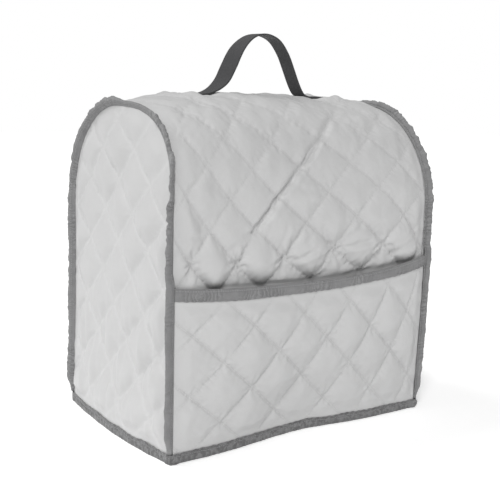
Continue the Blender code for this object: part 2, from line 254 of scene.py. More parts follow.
def foot_pull(x, s):
    """1 under the middle of a sewn foot of the handle, fading to 0 round it."""
    return bell(np.abs(x) - FOOT_MIDDLE, FOOT_DIP_LONG) * bell(s - GIRTH / 2, FOOT_DIP_WIDE)


# Quilting

QUILT_STEP = 0.054  # between neighbouring stitched lines
FIRST_ROW = 0.231  # girth of the first full row of crossings over the pocket
LEVEL_OFF = 0.16  # above that row the lines' curve levels off within this length
TOGETHER = 0.08  # share of a step by which the lines draw together at the pocket's mouth
TOGETHER_TALL = 0.014
# Slight pulls towards 0 in the least squares, on the plain terms and on the curved ones
PLAIN_PULL = 2e-5
CURVED_PULL = 6e-4

# Where stitched lines meet, read off the photograph: the rising line's number, the falling
# line's number, and the place on the cloth in millimetres. ANY marks a place on one line only.
ANY = math.nan
LONG_MARKS = (
    # rising, falling, from the middle, up the girth from the front hem
    (-2, -2, -109, 223),
    (-1, -1, -43, 229),
    (0, 0, 34, 231),
    (1, 1, 113, 234),
    (-3, -2, -144, 264),
    (-2, -1, -83, 261),
    (-1, 0, -4, 266),
    (0, 1, 74, 269),
    (1, 2, 144, 268),
    (-3, -1, -113, 297),
    (-2, 0, -56, 295),
    (-1, 1, 33, 300),
    (0, 2, 110, 301),
    (-4, -1, -149, 333),
    (-3, 0, -84, 330),
    (-2, 1, -22, 329),
    (-4, 0, -117, 360),
    (-3, 1, -49, 359),
    (-2, 2, 16, 363),
    (-3, 2, -9, 391),
    (-2, ANY, -120, 198),
    (-1, ANY, -58, 197),
    (0, ANY, 5, 193),
    (1, ANY, 85, 198),
    (ANY, -2, -81, 197),
    (ANY, -1, -6, 194),
    (ANY, 0, 66, 201),
    (-1, ANY, 64, 335),
    (0, ANY, 146, 334),
    (1, ANY, 169, 281),
)
POCKET_MARKS = (
    # rising, falling, from the middle, up from the floor
    (-2, 0, -166, 147),
    (-1, 1, -91, 156),
    (0, 2, -11, 155),
    (-1, 0, -127, 114),
    (0, 1, -45, 114),
    (1, 2, 27, 121),
    (2, 3, 91, 131),
    (-1, -1, -165, 74),
    (0, 0, -87, 77),
    (1, 1, -4, 77),
    (2, 2, 67, 81),
    (3, 3, 129, 96),
    (0, -1, -124, 38),
    (1, 0, -42, 40),
    (2, 1, 28, 44),
    (3, 2, 110, 39),
)
SIDE_MARKS = (
    # rising, falling, towards the back, up from the floor
    (-2, 4, 38, 344),
    (-3, 3, -37, 345),
    (-2, 3, 0, 309),
    (-1, 3, 45, 274),
    (-3, 2, -79, 311),
    (-2, 2, -40, 278),
    (-1, 2, -2, 238),
    (0, 2, 45, 198),
    (-3, 1, -117, 275),
    (-2, 1, -74, 234),
    (0, 1, 4, 154),
    (1, 2, 81, 156),
    (-1, 0, -68, 156),
    (0, 0, -26, 123),
    (1, 1, 49, 121),
    (1, 0, 16, 81),
    (2, 1, 96, 69),
    (-1, -1, -98, 118),
    (0, -1, -57, 80),
    (1, -1, -17, 45),
    (0, -2, -96, 45),
)


def line_terms(u, v, bent):
    """1, u, v and the second powers, plus u^3 and u^2 v where the curved terms read a bent v."""
    terms = [u**0, u, v, u * u, u * bent, bent * bent]
    return np.stack(terms if bent is v else terms + [u**3, u * u * bent], -1)


def settle_lines(marks, terms):
    """Least squares of both line numbers over the marked places, with the curved terms held small."""
    table = np.array(marks, dtype=float)
    basis = terms(table[:, 2] / 1000, table[:, 3] / 1000)
    curved = [CURVED_PULL / (k + 1) for k in range(basis.shape[1] - 3)]
    hold = np.diag([PLAIN_PULL] * 3 + curved)
    settled = []
    for numbers in table[:, :2].T:
        known = ~np.isnan(numbers)
        rows = np.vstack([basis[known], hold])
        wanted = np.append(numbers[known], np.zeros(len(hold)))
        settled.append(np.linalg.lstsq(rows, wanted, rcond=None)[0])
    return settled


def long_terms(x, s):
    """The long panel's terms, with heights taken from the first row and bent by a tanh."""
    rise = s - FIRST_ROW
    return line_terms(x, rise, LEVEL_OFF * np.tanh(rise / LEVEL_OFF))


def flat_terms(u, v):
    """The pocket's and the sides' terms, up to the second power."""
    return line_terms(u, v, v)


LONG_LINES = settle_lines(LONG_MARKS, long_terms)
POCKET_LINES = settle_lines(POCKET_MARKS, flat_terms)
SIDE_LINES = settle_lines(SIDE_MARKS, flat_terms)


def front_lattice(x, s):
    """Place in the long panel's quilting: a line is stitched wherever either number is whole.

    The lines fan out above the pocket, draw together at its mouth and run straight from the top on."""
    rising, falling = (long_terms(x, s) @ line for line in LONG_LINES)
    together = TOGETHER * bell(s - mouth(x), TOGETHER_TALL)
    return rising + together, falling - together


def pocket_lattice(x, z):
    """Place in the pocket's quilting."""
    return [flat_terms(x, z) @ line for line in POCKET_LINES]


def side_lattice(y, z):
    """Place in a side's quilting, with y towards the back as the left side shows it."""
    return [flat_terms(y, z) @ line for line in SIDE_LINES]


def pillow(p, q, firm=0.35):
    """0 on the stitched lines and 1 in a diamond's middle, as a product of two sines.

    firm is the share of a fuller form, which rises steeply beside the lines."""
    a, b = np.abs(np.sin(math.pi * p)), np.abs(np.sin(math.pi * q))
    return firm * (1 - (1 - a) ** 2) * (1 - (1 - b) ** 2) + (1 - firm) * a * b


def gathers(p, q, seed, star=0.0004, pucker=0.00022, spread=0.009):
    """Fine relief where thread draws the cloth in.

    Each crossing has a small dimple and 5 to 7 rays whose height is a bell of the distance, and
    each line has puckers 8.5 mm long, a sine along it under a bell across it."""
    i, j = np.round(p), np.round(q)
    dp, dq = (p - i) * QUILT_STEP, (q - j) * QUILT_STEP
    reach = np.hypot(dp, dq)
    turn = np.arctan2(dq, dp) + 6.28 * chance(i, j)
    rays = np.cos((5 + np.floor(3 * chance(j, i + seed))) * turn + 1.2 * ripples(dp, dq, 0.02, seed))
    drawn = star * (bell(reach - spread, spread) * rays - 0.7 * bell(reach, 0.0040))
    beat = 2 * math.pi * QUILT_STEP / 0.0085
    uneven = 1.5 * ripples(p, q, 0.7, seed + 1)
    for off, along, k in ((dp, q, i), (dq, p, j)):
        wave = np.sin(beat * along + 4 * chance(k, 1 + seed) + uneven)
        drawn = drawn + pucker * bell(off, 0.007) * wave
    return drawn


def half_diamond_folds(p, q):
    """Folds that fan out from a crossing: two to a quarter turn, about 20 mm from it."""
    i, j = np.round(p), np.round(q)
    dp, dq = (p - i) * QUILT_STEP, (q - j) * QUILT_STEP
    turn = np.arctan2(dq, dp)
    return bell(np.hypot(dp, dq) - 0.020, 0.014) * np.cos(8 * turn + 2.5 * chance(i, j))


def seam_gathers(distance, run, seed, height=0.0007):
    """Little ridges that run in from a sewn edge and die out, in patches along it."""
    wave = ripples(run, 0.35 * distance, 0.015, seed)
    patches = 0.25 + 0.75 * smooth_step(-0.2, 0.6, line_ripples(run, 0.09, seed + 1))
    return height * bell(distance - 0.005, 0.009) * wave * patches


CREASES = (
    # from x, from girth, to x, to girth, depth, half width
    (-0.126, 0.236, -0.086, 0.262, 0.0014, 0.0045),
    (0.060, 0.330, 0.078, 0.368, 0.0012, 0.0060),
    (-0.050, 0.238, -0.040, 0.266, 0.0013, 0.0042),
    (-0.034, 0.238, -0.016, 0.260, 0.0012, 0.0040),
    (0.044, 0.238, 0.080, 0.258, 0.0026, 0.0038),
    (0.046, 0.232, 0.092, 0.238, 0.0024, 0.0038),
    (-0.030, 0.222, 0.004, 0.234, 0.0024, 0.0042),
    (-0.034, 0.230, -0.002, 0.250, 0.0018, 0.0040),
    (0.012, 0.262, 0.026, 0.236, 0.0016, 0.0042),
    (-0.172, 0.300, -0.150, 0.262, 0.0014, 0.0060),
    (-0.182, 0.262, -0.152, 0.258, 0.0012, 0.0035),
    (0.150, 0.300, 0.178, 0.330, 0.0012, 0.0055),
    (0.118, 0.214, 0.170, 0.236, 0.0016, 0.0045),
    (0.128, 0.232, 0.176, 0.252, 0.0012, 0.0040),
    (-0.020, 0.305, 0.012, 0.300, 0.0010, 0.0045),
    (-0.100, 0.345, -0.060, 0.352, 0.0010, 0.0060),
)


# The one sharp fold: the rising line that it follows, its depth, and where along the girth it
# starts, dies out and opens from two pinched grooves into one
FOLD_LINE = -2
FOLD_DEEP = 0.0042
FOLD_STARTS = (0.252, 0.264)
FOLD_ENDS = (0.430, 0.330)
FOLD_PINCHED = (0.325, 0.290)


def deep_fold(p, s):
    """Bells across a wandering line: one or two grooves, with a low lip on each side."""
    wander = 0.0007 * np.sin(s / 0.0046) + 0.0004 * np.sin(s / 0.0021)
    off = (p - FOLD_LINE) * QUILT_STEP + wander
    shown = smooth_step(*FOLD_STARTS, s) * smooth_step(*FOLD_ENDS, s)
    pinched = smooth_step(*FOLD_PINCHED, s)
    one = 0.9 * bell(off, 0.0044)
    two = bell(off + 0.0026, 0.0021) + 0.8 * bell(off - 0.0026, 0.0021)
    lips = 0.30 * bell(off - 0.0075, 0.0045) + 0.20 * bell(off + 0.0080, 0.0050)
    return FOLD_DEEP * shown * (lips - pinched * two - (1 - pinched) * one)


def creases(x, s):
    """Depth of the few folds that the cloth keeps: a bell across each line, faded at its ends."""
    depth = 0.0
    for x0, s0, x1, s1, deep, half in CREASES:
        run = np.array([x1 - x0, s1 - s0])
        long = math.hypot(*run)
        t = ((x - x0) * run[0] + (s - s0) * run[1]) / long**2
        off = ((s - s0) * run[0] - (x - x0) * run[1]) / long
        ends = smooth_step(-0.15, 0.15, t) * smooth_step(1.15, 0.85, t)
        depth = depth - deep * ends * (bell(off, half) - 0.45 * bell(off + 1.7 * half, half))
    return depth


def fade_to_edge(distance):
    """0 on the pressed edge, 1 where the quilting is full."""
    return smooth_step(0.004, 0.020, distance)


BELLY = 0.0055
SLACK = 0.0013
BANK_LEFT = 0.0048  # the cloth banks up in front of and behind the handle's feet
BANK_RIGHT = 0.0064
NOTCH = 0.0022  # and gives way at their inner ends


def long_panel_swell(x, s):
    """The long panel's own large form.

    A belly over the pocket is a skewed half sine. Slack between the seams, and dips, banks and
    notches at the handle's feet, are bells."""
    t = np.clip((s - mouth(x) - BELLY_FROM) / BELLY_TALL, 0.0, 1.0)
    belly = BELLY * np.sin(math.pi * t**0.62) * smooth_step(0.0, 0.06, from_seam(x))
    slack = SLACK * ripples(x, s, 0.14, 11) * smooth_step(0.0, 0.05, from_seam(x))
    slack *= smooth_step(0.0, 0.06, s - mouth(x)) * smooth_step(0.02, 0.08, GIRTH - s)
    from_top = np.abs(s - GIRTH / 2)
    bank = bell(np.abs(x) - 0.108, 0.019) * bell(from_top - 0.027, 0.011)
    notch = bell(np.abs(x) - 0.0785, 0.004) * bell(from_top - 0.020, 0.012)
    feet = np.where(x > 0, BANK_RIGHT, BANK_LEFT) * bank - NOTCH * notch
    return belly + slack - FOOT_DIP * foot_pull(x, s) + feet


ROW_PUFF = (
    # row up from the pocket's mouth, height of its diamonds
    (-3, 0.0008),
    (-2, 0.0012),
    (-1, 0.0036),
    (0, 0.0078),
    (1, 0.0054),
    (2, 0.0041),
    (3, 0.0033),
    (5, 0.0028),
)
HALF_DIAMOND_EXTRA = 0.0015  # by which the half diamonds rise at the pocket's tape
HALF_DIAMOND_FOLDS = 0.0007
ROW_SAG = 0.22  # share by which a diamond's padding moves to its lower tip
TOP_LOWER = 0.40  # share by which the diamonds over the top are lower
UNEVEN = 0.22  # share by which neighbouring diamonds differ
FOOT_RAYS = 0.0011
PRESSED_PUFF = 0.0008  # puff left where the pocket presses on the panel


def row_height(x, s, row, lean):
    """Height of the long panel's diamonds, by their row.

    The full row just over the pocket sags over the mouth, and the half diamonds below it lean on
    the tape. What the pocket covers is nearly flat, and the rows over the top are lower. lean is
    1 at a diamond's lower tip and -1 at its upper one."""
    over = s - mouth(x)
    rows, heights = np.array(ROW_PUFF).T
    sag = 1 + ROW_SAG * lean * smooth_step(2.5, 0.5, np.abs(row))
    tuck = -0.030 + 0.024 * bell(from_seam(x), 0.045)
    shown = np.where(row < 0, smooth_step(-0.014, -0.003, over), smooth_step(tuck, 0.014, over))
    flatter = 1 - 0.40 * bell(x + 0.098, 0.022) * bell(over, 0.022)
    height = np.interp(row, rows, heights) * sag * shown * flatter + PRESSED_PUFF * (1 - shown)
    at_tape = smooth_step(0.028, 0.000, over)
    height = height + np.where(row < 0, HALF_DIAMOND_EXTRA, 0.0) * shown * at_tape
    return height * (1 - TOP_LOWER * smooth_step(0.33, 0.42, s) * smooth_step(0.62, 0.54, s))


def long_panel_relief(x, s, p, q):
    """Fine relief of the long panel: the thread's pulls, the creases and the cloth's unevenness.

    Rays and puckers are stronger just over the pocket."""
    over = s - mouth(x)
    near = bell(over - 0.030, 0.022)
    star, pucker, spread = 0.0004 + 0.0013 * near, 0.00022 + 0.0003 * near, 0.009 + 0.002 * near
    rumpled = 0.45 + 0.55 * smooth_step(0.2, 0.7, ripples(x, s, 0.09, 15))
    rumpled = rumpled + 0.8 * bell(WIDTH / 2 + x, 0.04)
    relief = gathers(p, q, 3, star, pucker, spread) + creases(x, s)
    relief = relief + 0.00060 * ripples(x, s, 0.030, 8)
    return relief + 0.00026 * rumpled * ripples(x, s, 0.0135, 16, 14)


def long_panel_puff(x, s):
    """Quilting and folds over the long panel's form.

    Rows of diamonds are numbered by the difference of their two lines' numbers."""
    p, q = front_lattice(x, s)
    row = np.floor(q) - np.floor(p)
    lean = (p - np.floor(p)) - (q - np.floor(q))
    over = s - mouth(x)
    seen = smooth_step(-0.004, 0.010, over)
    uneven = 1 + UNEVEN * ripples(p, q, 3.0, 5)
    relief = row_height(x, s, row, lean) * uneven * pillow(p, q, np.interp(row, (0, 2), (0.50, 0.30)))
    relief = relief + long_panel_relief(x, s, p, q) * seen + deep_fold(p, s)
    fan = HALF_DIAMOND_FOLDS * smooth_step(0.001, 0.010, over) * smooth_step(0.06, 0.04, over)
    relief = relief + np.where(row < 0, fan, 0.0) * half_diamond_folds(p, q)
    edge = np.minimum(from_seam(x), np.minimum(s, GIRTH - s) - UNDER_TAPE)
    sewn = smooth_step(0.12, 0.50, foot_pull(x, s))
    side = seam_gathers(from_seam(x), s, 21) * smooth_step(0.01, 0.05, over) * seen
    return fade_to_edge(edge) * (1 - sewn) * relief + side + FOOT_RAYS * foot_rays(x, s)


def foot_rays(x, s):
    """Pull lines that run out from the handle's sewn feet, with none under the webbing."""
    dx, ds = np.abs(x) - 0.094, s - GIRTH / 2
    reach = np.hypot(dx, ds)
    rays = np.cos(7 * np.arctan2(ds, dx) + 5 * np.sign(x))
    beside = np.maximum(np.abs(np.abs(x) - 0.085) - 0.008, np.abs(ds))
    return bell(reach - 0.026, 0.014) * rays * smooth_step(0.014, 0.021, beside)


def pocket_stand(x, z):
    """How far the pocket's inner face is from the long panel's face."""
    t = 2 * x / WIDTH
    share = z / mouth(x)
    bulge = POCKET_BULGE * (1 - t**4) * smooth_step(-0.2, 1.0, share) * smooth_step(0.0, 0.45, share)
    slack = 0.0009 * ripples(x, z, 0.11, 31) * (1 - t**4) * smooth_step(0.1, 0.5, share)
    return POCKET_STAND + bulge + slack


POCKET_PUFF = 0.0054
SIDE_PUFF = 0.0052


def pocket_puff(x, z):
    """Quilting on the pocket, with small gathers at its side seams and over the hem tape."""
    p, q = pocket_lattice(x, z)
    edge = np.minimum(from_seam(x), np.minimum(z - UNDER_TAPE, mouth(x) - z - UNDER_TAPE))
    puff = POCKET_PUFF * (1 + UNEVEN * ripples(p, q, 3.0, 6)) * pillow(p, q)
    puff = puff + gathers(p, q, 13, 0.0006, 0.00030)
    puff = puff + 0.00060 * ripples(x, z, 0.035, 9) + 0.00018 * ripples(x, z, 0.014, 19)
    side = seam_gathers(from_seam(x), z, 23, 0.0004)
    hem = seam_gathers(z - BAND, x, 25, 0.0005) * smooth_step(0.0, 0.01, z - BAND)
    return fade_to_edge(edge) * puff + side + hem


def side_puff(y, z):
    """Quilting on a side, with gathers along its edges and upright drag lines low down."""
    p, q = side_lattice(y, z)
    from_arch = RADIUS - np.hypot(y, np.maximum(0.0, z - SPRING))
    edge = np.minimum(z - UNDER_TAPE, from_arch)
    puff = SIDE_PUFF * (1 + 0.2 * ripples(p, q, 3.0, 7)) * pillow(p, q)
    puff = puff + gathers(p, q, 17, 0.0003, 0.00018) + 0.00050 * ripples(y, z, 0.032, 10)
    run = RADIUS * np.arctan2(np.maximum(0.0, z - SPRING), y) + np.where(z < SPRING, z, SPRING)
    side = seam_gathers(from_arch, run, 27, 0.0005)
    hem = seam_gathers(z - BAND, y, 29, 0.0005) * smooth_step(0.0, 0.010, z - BAND)
    slack = 0.0017 * ripples(y, z, 0.13, 12) * smooth_step(0.0, 0.05, from_arch)
    drag = 0.0009 * ripples(y, z * 0.18, 0.016, 14)
    drag = drag * smooth_step(0.24, 0.12, z) * smooth_step(0.0, 0.03, from_arch)
    return fade_to_edge(edge) * (puff + slack + drag) + side + hem


# Meshes


def grid_faces(rows, columns, ring_rows=False, ring_columns=False):
    """Vertex numbers and grid places of a grid's quads, which may close into a ring either way."""
    i, j = np.meshgrid(
        np.arange(rows if ring_rows else rows - 1),
        np.arange(columns if ring_columns else columns - 1),
        indexing="ij",
    )
    i, j = i.ravel(), j.ravel()
    places = np.stack([np.stack(c, -1) for c in ((i, j), (i + 1, j), (i + 1, j + 1), (i, j + 1))], 1)
    return places[..., 0] % rows * columns + places[..., 1] % columns, places


def border(rows, columns):
    """Numbers of a grid's border vertices, once round."""
    i, j = np.arange(rows), np.arange(columns)
    return np.concatenate(
        [i[:-1] * columns, (rows - 1) * columns + j[:-1], i[:0:-1] * columns + columns - 1, j[:0:-1]]
    )


def closed_sheet(outer, inner, step):
    """One closed mesh from a fine outer grid and an inner grid that is coarser by step.

    The rim runs round the two borders: a triangle for each fine edge and one for each coarse edge."""
    rows, columns = outer.shape[:2]
    back_rows, back_columns = inner.shape[:2]
    count = rows * columns
    front, _ = grid_faces(rows, columns)
    back, _ = grid_faces(back_rows, back_columns)
    fine = border(rows, columns)
    coarse = border(back_rows, back_columns) + count
    k = np.arange(len(fine))
    j = np.arange(len(coarse))
    rim_fine = np.stack([np.roll(fine, -1), fine, coarse[k // step]], -1)
    rim_coarse = np.stack([coarse, np.roll(coarse, -1), fine[(j + 1) * step % len(fine)]], -1)
    points = np.concatenate([outer.reshape(-1, 3), inner.reshape(-1, 3)])
    faces = front.tolist() + (back[:, ::-1] + count).tolist() + rim_fine.tolist() + rim_coarse.tolist()
    return points, faces


def faces_point_inward(points, faces):
    """Whether the volume that the faces close counts as negative."""
    first = np.array([f[:3] for f in faces])
    a, b, c = (points[first[:, k]] for k in range(3))
    return np.einsum("ij,ij->", a, np.cross(b, c)) < 0


def mesh_piece(name, points, faces, maps, material, sharp=None):
    """Puts points, faces and the UV maps, given for each face's corners in order, into a new object."""
    mesh = bpy.data.meshes.new(name)
    mesh.from_pydata(points.tolist(), [], faces)
    for title, values in maps.items():
        layer = mesh.uv_layers.new(name=title)
        layer.data.foreach_set("uv", values.astype(np.float32).ravel())
    mesh.shade_smooth()
    if sharp:
        mesh.set_sharp_from_angle(angle=math.radians(sharp))
    mesh.materials.append(material)
    piece = bpy.data.objects.new(name, mesh)
    bpy.context.scene.collection.objects.link(piece)
    return piece


def seat(piece, slot, *nodes):
    """The piece rides on the one body and stands for the nodes. slot is not used."""
    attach(piece, "root")
    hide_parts(*nodes)
    return piece


def cloth_maps(p, q, u, v, drawn=1.0, lit=0.0):
    """The quilting's places, the cloth's own lengths in tenths of a metre, and how lines show on it.

    drawn is how far a line draws the cloth in, and lit how strong the painted highlight along its lines
    is."""
    return {
        "lattice": np.stack([p, q], -1),
        "cloth": np.stack([u, v], -1) * 10,
        "drawn": np.stack([drawn + 0 * u, lit + 0 * v], -1),
    }


def quilted_sheet(name, fine, coarse, step, material):
    """A quilted sheet: fine and coarse give the points and the maps of its face and of its lining."""
    points, maps = fine
    back_points, back_maps = coarse
    verts, faces = closed_sheet(points, back_points, step)
    if faces_point_inward(verts, faces):
        faces = [face[::-1] for face in faces]
    corners = np.array([number for face in faces for number in face])
    joined = {
        title: np.concatenate([values.reshape(-1, 2), back_maps[title].reshape(-1, 2)])[corners]
        for title, values in maps.items()
    }
    return mesh_piece(name, verts, faces, joined, material)


# The sides' lines are drawn in less, and a painted highlight lies along them, as light from the left
# would give
SIDE_DRAWN = 0.4
SIDE_LIT = 1.0
LINING_STEP = 4  # a sheet's lining is coarser than its face by this


def shares(rows, columns):
    """Two even grids of shares from 0 to 1."""
    return np.meshgrid(np.linspace(0, 1, rows), np.linspace(0, 1, columns), indexing="ij")


def swept(name, points, along, around, material, ring=False, sharp=None):
    """A closed strip: points[i, j] is place j round the section i.

    Its UV map, tape, holds along for each section and around for each place. The ends are capped
    unless the strip is a ring, and the caps have no place on the map."""
    rows, columns = points.shape[:2]
    numbers, places = grid_faces(rows, columns, ring_rows=ring, ring_columns=True)
    verts = points.reshape(-1, 3)
    faces = numbers.tolist()
    if not ring:
        faces += [list(range(columns))[::-1], list(range((rows - 1) * columns, rows * columns))]
    on_map = np.stack([along[places[..., 0]], around[places[..., 1]]], -1)
    if faces_point_inward(verts, faces):
        faces = [face[::-1] for face in faces]
        on_map = on_map[:, ::-1]
    caps = np.zeros((sum(len(face) for face in faces[len(numbers) :]), 2))
    maps = {"tape": np.concatenate([on_map.reshape(-1, 2), caps])}
    return mesh_piece(name, verts, faces, maps, material, sharp)


def cut_corners(outline):
    """Rounds closed outlines: each corner gives way to two points a quarter in from it."""
    after = np.roll(outline, -1, axis=-2)
    cut = np.stack([0.75 * outline + 0.25 * after, 0.25 * outline + 0.75 * after], axis=-2)
    return cut.reshape(*cut.shape[:-3], -1, 2)


# Materials


class Strand:
    """One value in a material's nodes. Sums on it add Math nodes."""

    def __init__(self, tree, socket=None):
        self.tree = tree
        self.socket = socket

    def node(self, kind, inputs=None, output=0, **settings):
        """Adds a node: its settings first, then values or links for its sockets."""
        made = self.tree.nodes.new(kind)
        for name, value in settings.items():
            setattr(made, name, value)
        for name, value in (inputs or {}).items():
            if isinstance(value, Strand):
                self.tree.links.new(value.socket, made.inputs[name])
            else:
                made.inputs[name].default_value = value
        return Strand(self.tree, made.outputs[output]) if len(made.outputs) else made

    def math(self, operation, *others):
        inputs = dict(enumerate((self, *others)))
        return self.node("ShaderNodeMath", inputs, operation=operation)

    def __add__(self, other):
        return self.math("ADD", other)

    __radd__ = __add__

    def __mul__(self, other):
        return self.math("MULTIPLY", other)

    __rmul__ = __mul__

    def __sub__(self, other):
        return self.math("SUBTRACT", other)

    def __rsub__(self, other):
        return self * -1.0 + other

    def sine(self):
        return self.math("SINE")

    def size(self):
        return self.math("ABSOLUTE")

    def larger(self, other):
        return self.math("MAXIMUM", other)

    def off_whole(self):
        """Distance to the nearest whole number."""
        return ((self + 0.5).math("FRACT") - 0.5).size()

    def ease(self, low, high):
        """1 at low, 0 at high and smooth between."""
        return self.node(
            "ShaderNodeMapRange",
            {"Value": self, "From Min": low, "From Max": high, "To Min": 1.0, "To Max": 0.0},
            interpolation_type="SMOOTHSTEP",
        )


def start_material(name):
    """A new material with only its output and its shader, and a Strand to build on."""
    material = bpy.data.materials.new(name)
    material.use_nodes = True
    shader = material.node_tree.nodes["Principled BSDF"]
    return material, shader, Strand(material.node_tree)


def split_map(root, title):
    """The two numbers of a UV map."""
    where = root.node("ShaderNodeUVMap", uv_map=title)
    parts = root.node("ShaderNodeSeparateXYZ", {0: where})
    return Strand(root.tree, parts.socket), Strand(root.tree, parts.socket.node.outputs[1])


def noise(root, where, scale, detail=3.0, rough=0.55):
    return root.node(
        "ShaderNodeTexNoise",
        {"Vector": where, "Scale": scale, "Detail": detail, "Roughness": rough},
        output="Fac",
    )


def mix_colour(root, share, first, second):
    """Mixes two colours by a share."""
    return root.node(
        "ShaderNodeMix",
        {0: share, 6: first, 7: second},
        output=2,
        data_type="RGBA",
    )


def tint(colour, factor):
    """The colour times a factor, as a colour socket takes it."""
    return (*[min(1.0, c * factor) for c in colour], 1.0)


def tinted(root, base, colour, *steps):
    """For each step, mixes in the colour times a factor by a share."""
    for share, factor in steps:
        base = mix_colour(root, share, base, tint(colour, factor))
    return base


def plug(root, shader, name, strand):
    """Feeds a strand into the shader's socket of that name."""
    root.tree.links.new(strand.socket, shader.inputs[name])


def finish(root, shader, base, rough, height, sheen, specular):
    """Feeds the shader its colour, its roughness and the bump of a height in millimetres."""
    inputs = {"Height": height, "Distance": 0.001, "Strength": 1.0}
    plug(root, shader, "Base Color", base)
    plug(root, shader, "Roughness", rough)
    plug(root, shader, "Normal", root.node("ShaderNodeBump", inputs, output="Normal"))
    shader.inputs["Sheen Weight"].default_value = sheen
    shader.inputs["Specular IOR Level"].default_value = specular


STITCH_PITCH = 3.2  # millimetres from stitch to stitch on the quilting
WEAVE_RATE = 1250.0  # radians of the cloth's weave in a tenth of a metre


def quilted_cloth(name, colour):
    """Smooth woven face with sewn lines: thread dashes in a groove, fine puckers, a faint weave.

    The map lattice holds the quilting's places, so a line lies wherever a number is whole."""
    material, shader, root = start_material(name)
    p, q = split_map(root, "lattice")
    where = root.node("ShaderNodeUVMap", uv_map="cloth")
    u, v = split_map(root, "cloth")
    drawn, lit = split_map(root, "drawn")
    step = QUILT_STEP * 1000
    off_p, off_q = p.off_whole() * step, q.off_whole() * step
    # In millimetres: stitches about 2.4 long and 0.75 wide, in grooves 3.4 to 3.8 wide on each side
    dash_p = (q * (step / STITCH_PITCH)).off_whole().ease(0.34, 0.42)
    dash_q = (p * (step / STITCH_PITCH)).off_whole().ease(0.34, 0.42)
    thread = (off_p.ease(0.25, 0.50) * dash_p).larger(off_q.ease(0.25, 0.50) * dash_q)
    rising, falling = off_p.ease(0.0, 3.4), off_q.ease(0.0, 3.8)
    groove = rising.larger(falling) * drawn
    soft = noise(root, where, 3.2, 2.0)
    crinkle = noise(root, where, 14.0, 2.0, 0.45)
    flecks = noise(root, where, 300.0, 2.0)
    pucker_p = off_p.ease(0.0, 6.5) * (q * 76.0 + soft * 24.0).sine()
    pucker_q = off_q.ease(0.0, 6.5) * (p * 76.0 + soft * 24.0).sine()
    weave = (u * WEAVE_RATE).sine() * 0.5 + (v * WEAVE_RATE).sine() * 0.5
    height = (pucker_p + pucker_q) * drawn * 0.07 - groove * 0.30 + thread * drawn * 0.18
    height = height + soft * 0.6 + crinkle * 0.22 + weave * 0.004 + flecks * 0.008
    base = mix_colour(root, soft.ease(0.35, 0.65), tint(colour, 1.01), tint(colour, 0.985))
    # Painted shade along the lines' grooves, mostly the falling ones, left off where the sides' painted
    # highlight lies
    shaded = (falling.larger(rising * 0.25) * drawn) * (1.0 - lit)
    # A painted highlight along the sides' lines
    shining = off_p.ease(0.0, 4.6).larger(off_q.ease(0.0, 4.6)) * lit
    # The thread's dashes are lighter: partly the thread's own tone, partly a painted highlight
    sewn = thread * drawn * 0.6
    base = tinted(root, base, colour, (shaded * 0.45, 0.84), (shining * 0.42, 1.12), (sewn, 1.12))
    rough = flecks * 0.06 + crinkle * 0.08 + 0.42
    finish(root, shader, base, rough, height, sheen=0.12, specular=0.38)
    shader.inputs["Sheen Roughness"].default_value = 0.45
    return material


RIB_PITCH = 1.35  # millimetres
GATHER_PITCH = 5.2
TAPE_STITCH_PITCH = 3.0
FOLD_BAND = 0.205  # where round the section the tape's outer leg nears the fold and gets a painted highlight
HEM_TOP = (0.0125, 0.0150)  # metres over the floor between which the hem's tape ends and its painted shade fades out


def binding_tape(name, colour):
    """Ribbed tape: fine cross ribs, a stitched line near each edge and a painted highlight near the
    folds.

    The map holds millimetres along the tape and the share round its section."""
    material, shader, root = start_material(name)
    along, around = split_map(root, "tape")
    where = root.node("ShaderNodeTexCoord", output="Object")
    cloud = noise(root, where, 60.0, 3.0)
    fibre = noise(root, where, 900.0, 2.0)
    ribs = (along * (2 * math.pi / RIB_PITCH)).sine()
    gather = (along * (2 * math.pi / GATHER_PITCH) + cloud * 26.0).sine()
    tucked = noise(root, where, 28.0, 1.0).ease(0.62, 0.42)
    # Both legs of a tape have a stitched line at the same share of the section
    off_line = (around * 2.0 - 0.28).off_whole()
    furrow = off_line.ease(0.0, 0.10)
    dash = (along * (1 / TAPE_STITCH_PITCH)).off_whole().ease(0.33, 0.42)
    dash = dash * off_line.ease(0.016, 0.034)
    # Painted shade: the hem's tape is darker low down, in blotches
    low = root.node("ShaderNodeSeparateXYZ", {0: where}, output=2).ease(*HEM_TOP)
    blotch = noise(root, where, 210.0, 2.0).ease(0.62, 0.40)
    height = ribs * 0.015 + gather * tucked * 0.30 + fibre * 0.07 - furrow * 0.35 + dash * 0.2
    # Painted shade and light on the gathers and ribs, over a cloudy tone that varies at random
    shade = gather * tucked * 0.30 + ribs * 0.03 + cloud.ease(0.3, 0.7) * 0.36 + 0.32
    base = mix_colour(root, shade, tint(colour, 1.25), tint(colour, 0.72))
    # Painted highlight near the fold
    painted_fold_highlight = (around - FOLD_BAND).size().ease(0.02, 0.06)
    # Painted shade low on the hem's tape, in blotches
    painted_hem_shade = low * (blotch * 0.75 + 0.25)
    thread = dash * 0.6 + fibre.ease(0.75, 0.3) * 0.2
    base = tinted(root, base, colour, (painted_fold_highlight * 0.30, 1.30), (painted_hem_shade, 0.50))
    # Painted shade in the stitched furrows; the thread and its fibres are lighter in their own colour
    base = tinted(root, base, colour, (furrow * 0.45, 0.60), (thread, 1.5))
    finish(root, shader, base, fibre * 0.15 + 0.68, height, sheen=0.15, specular=0.3)
    return material


WARP_PITCH = 1.6  # millimetres
WEFT_PITCH = 2.2
BOX_FROM_END = 13.0  # from a foot's end to the middle of its sewn box
BOX_HALF_LONG = 10.0
BOX_HALF_WIDE = 9.0


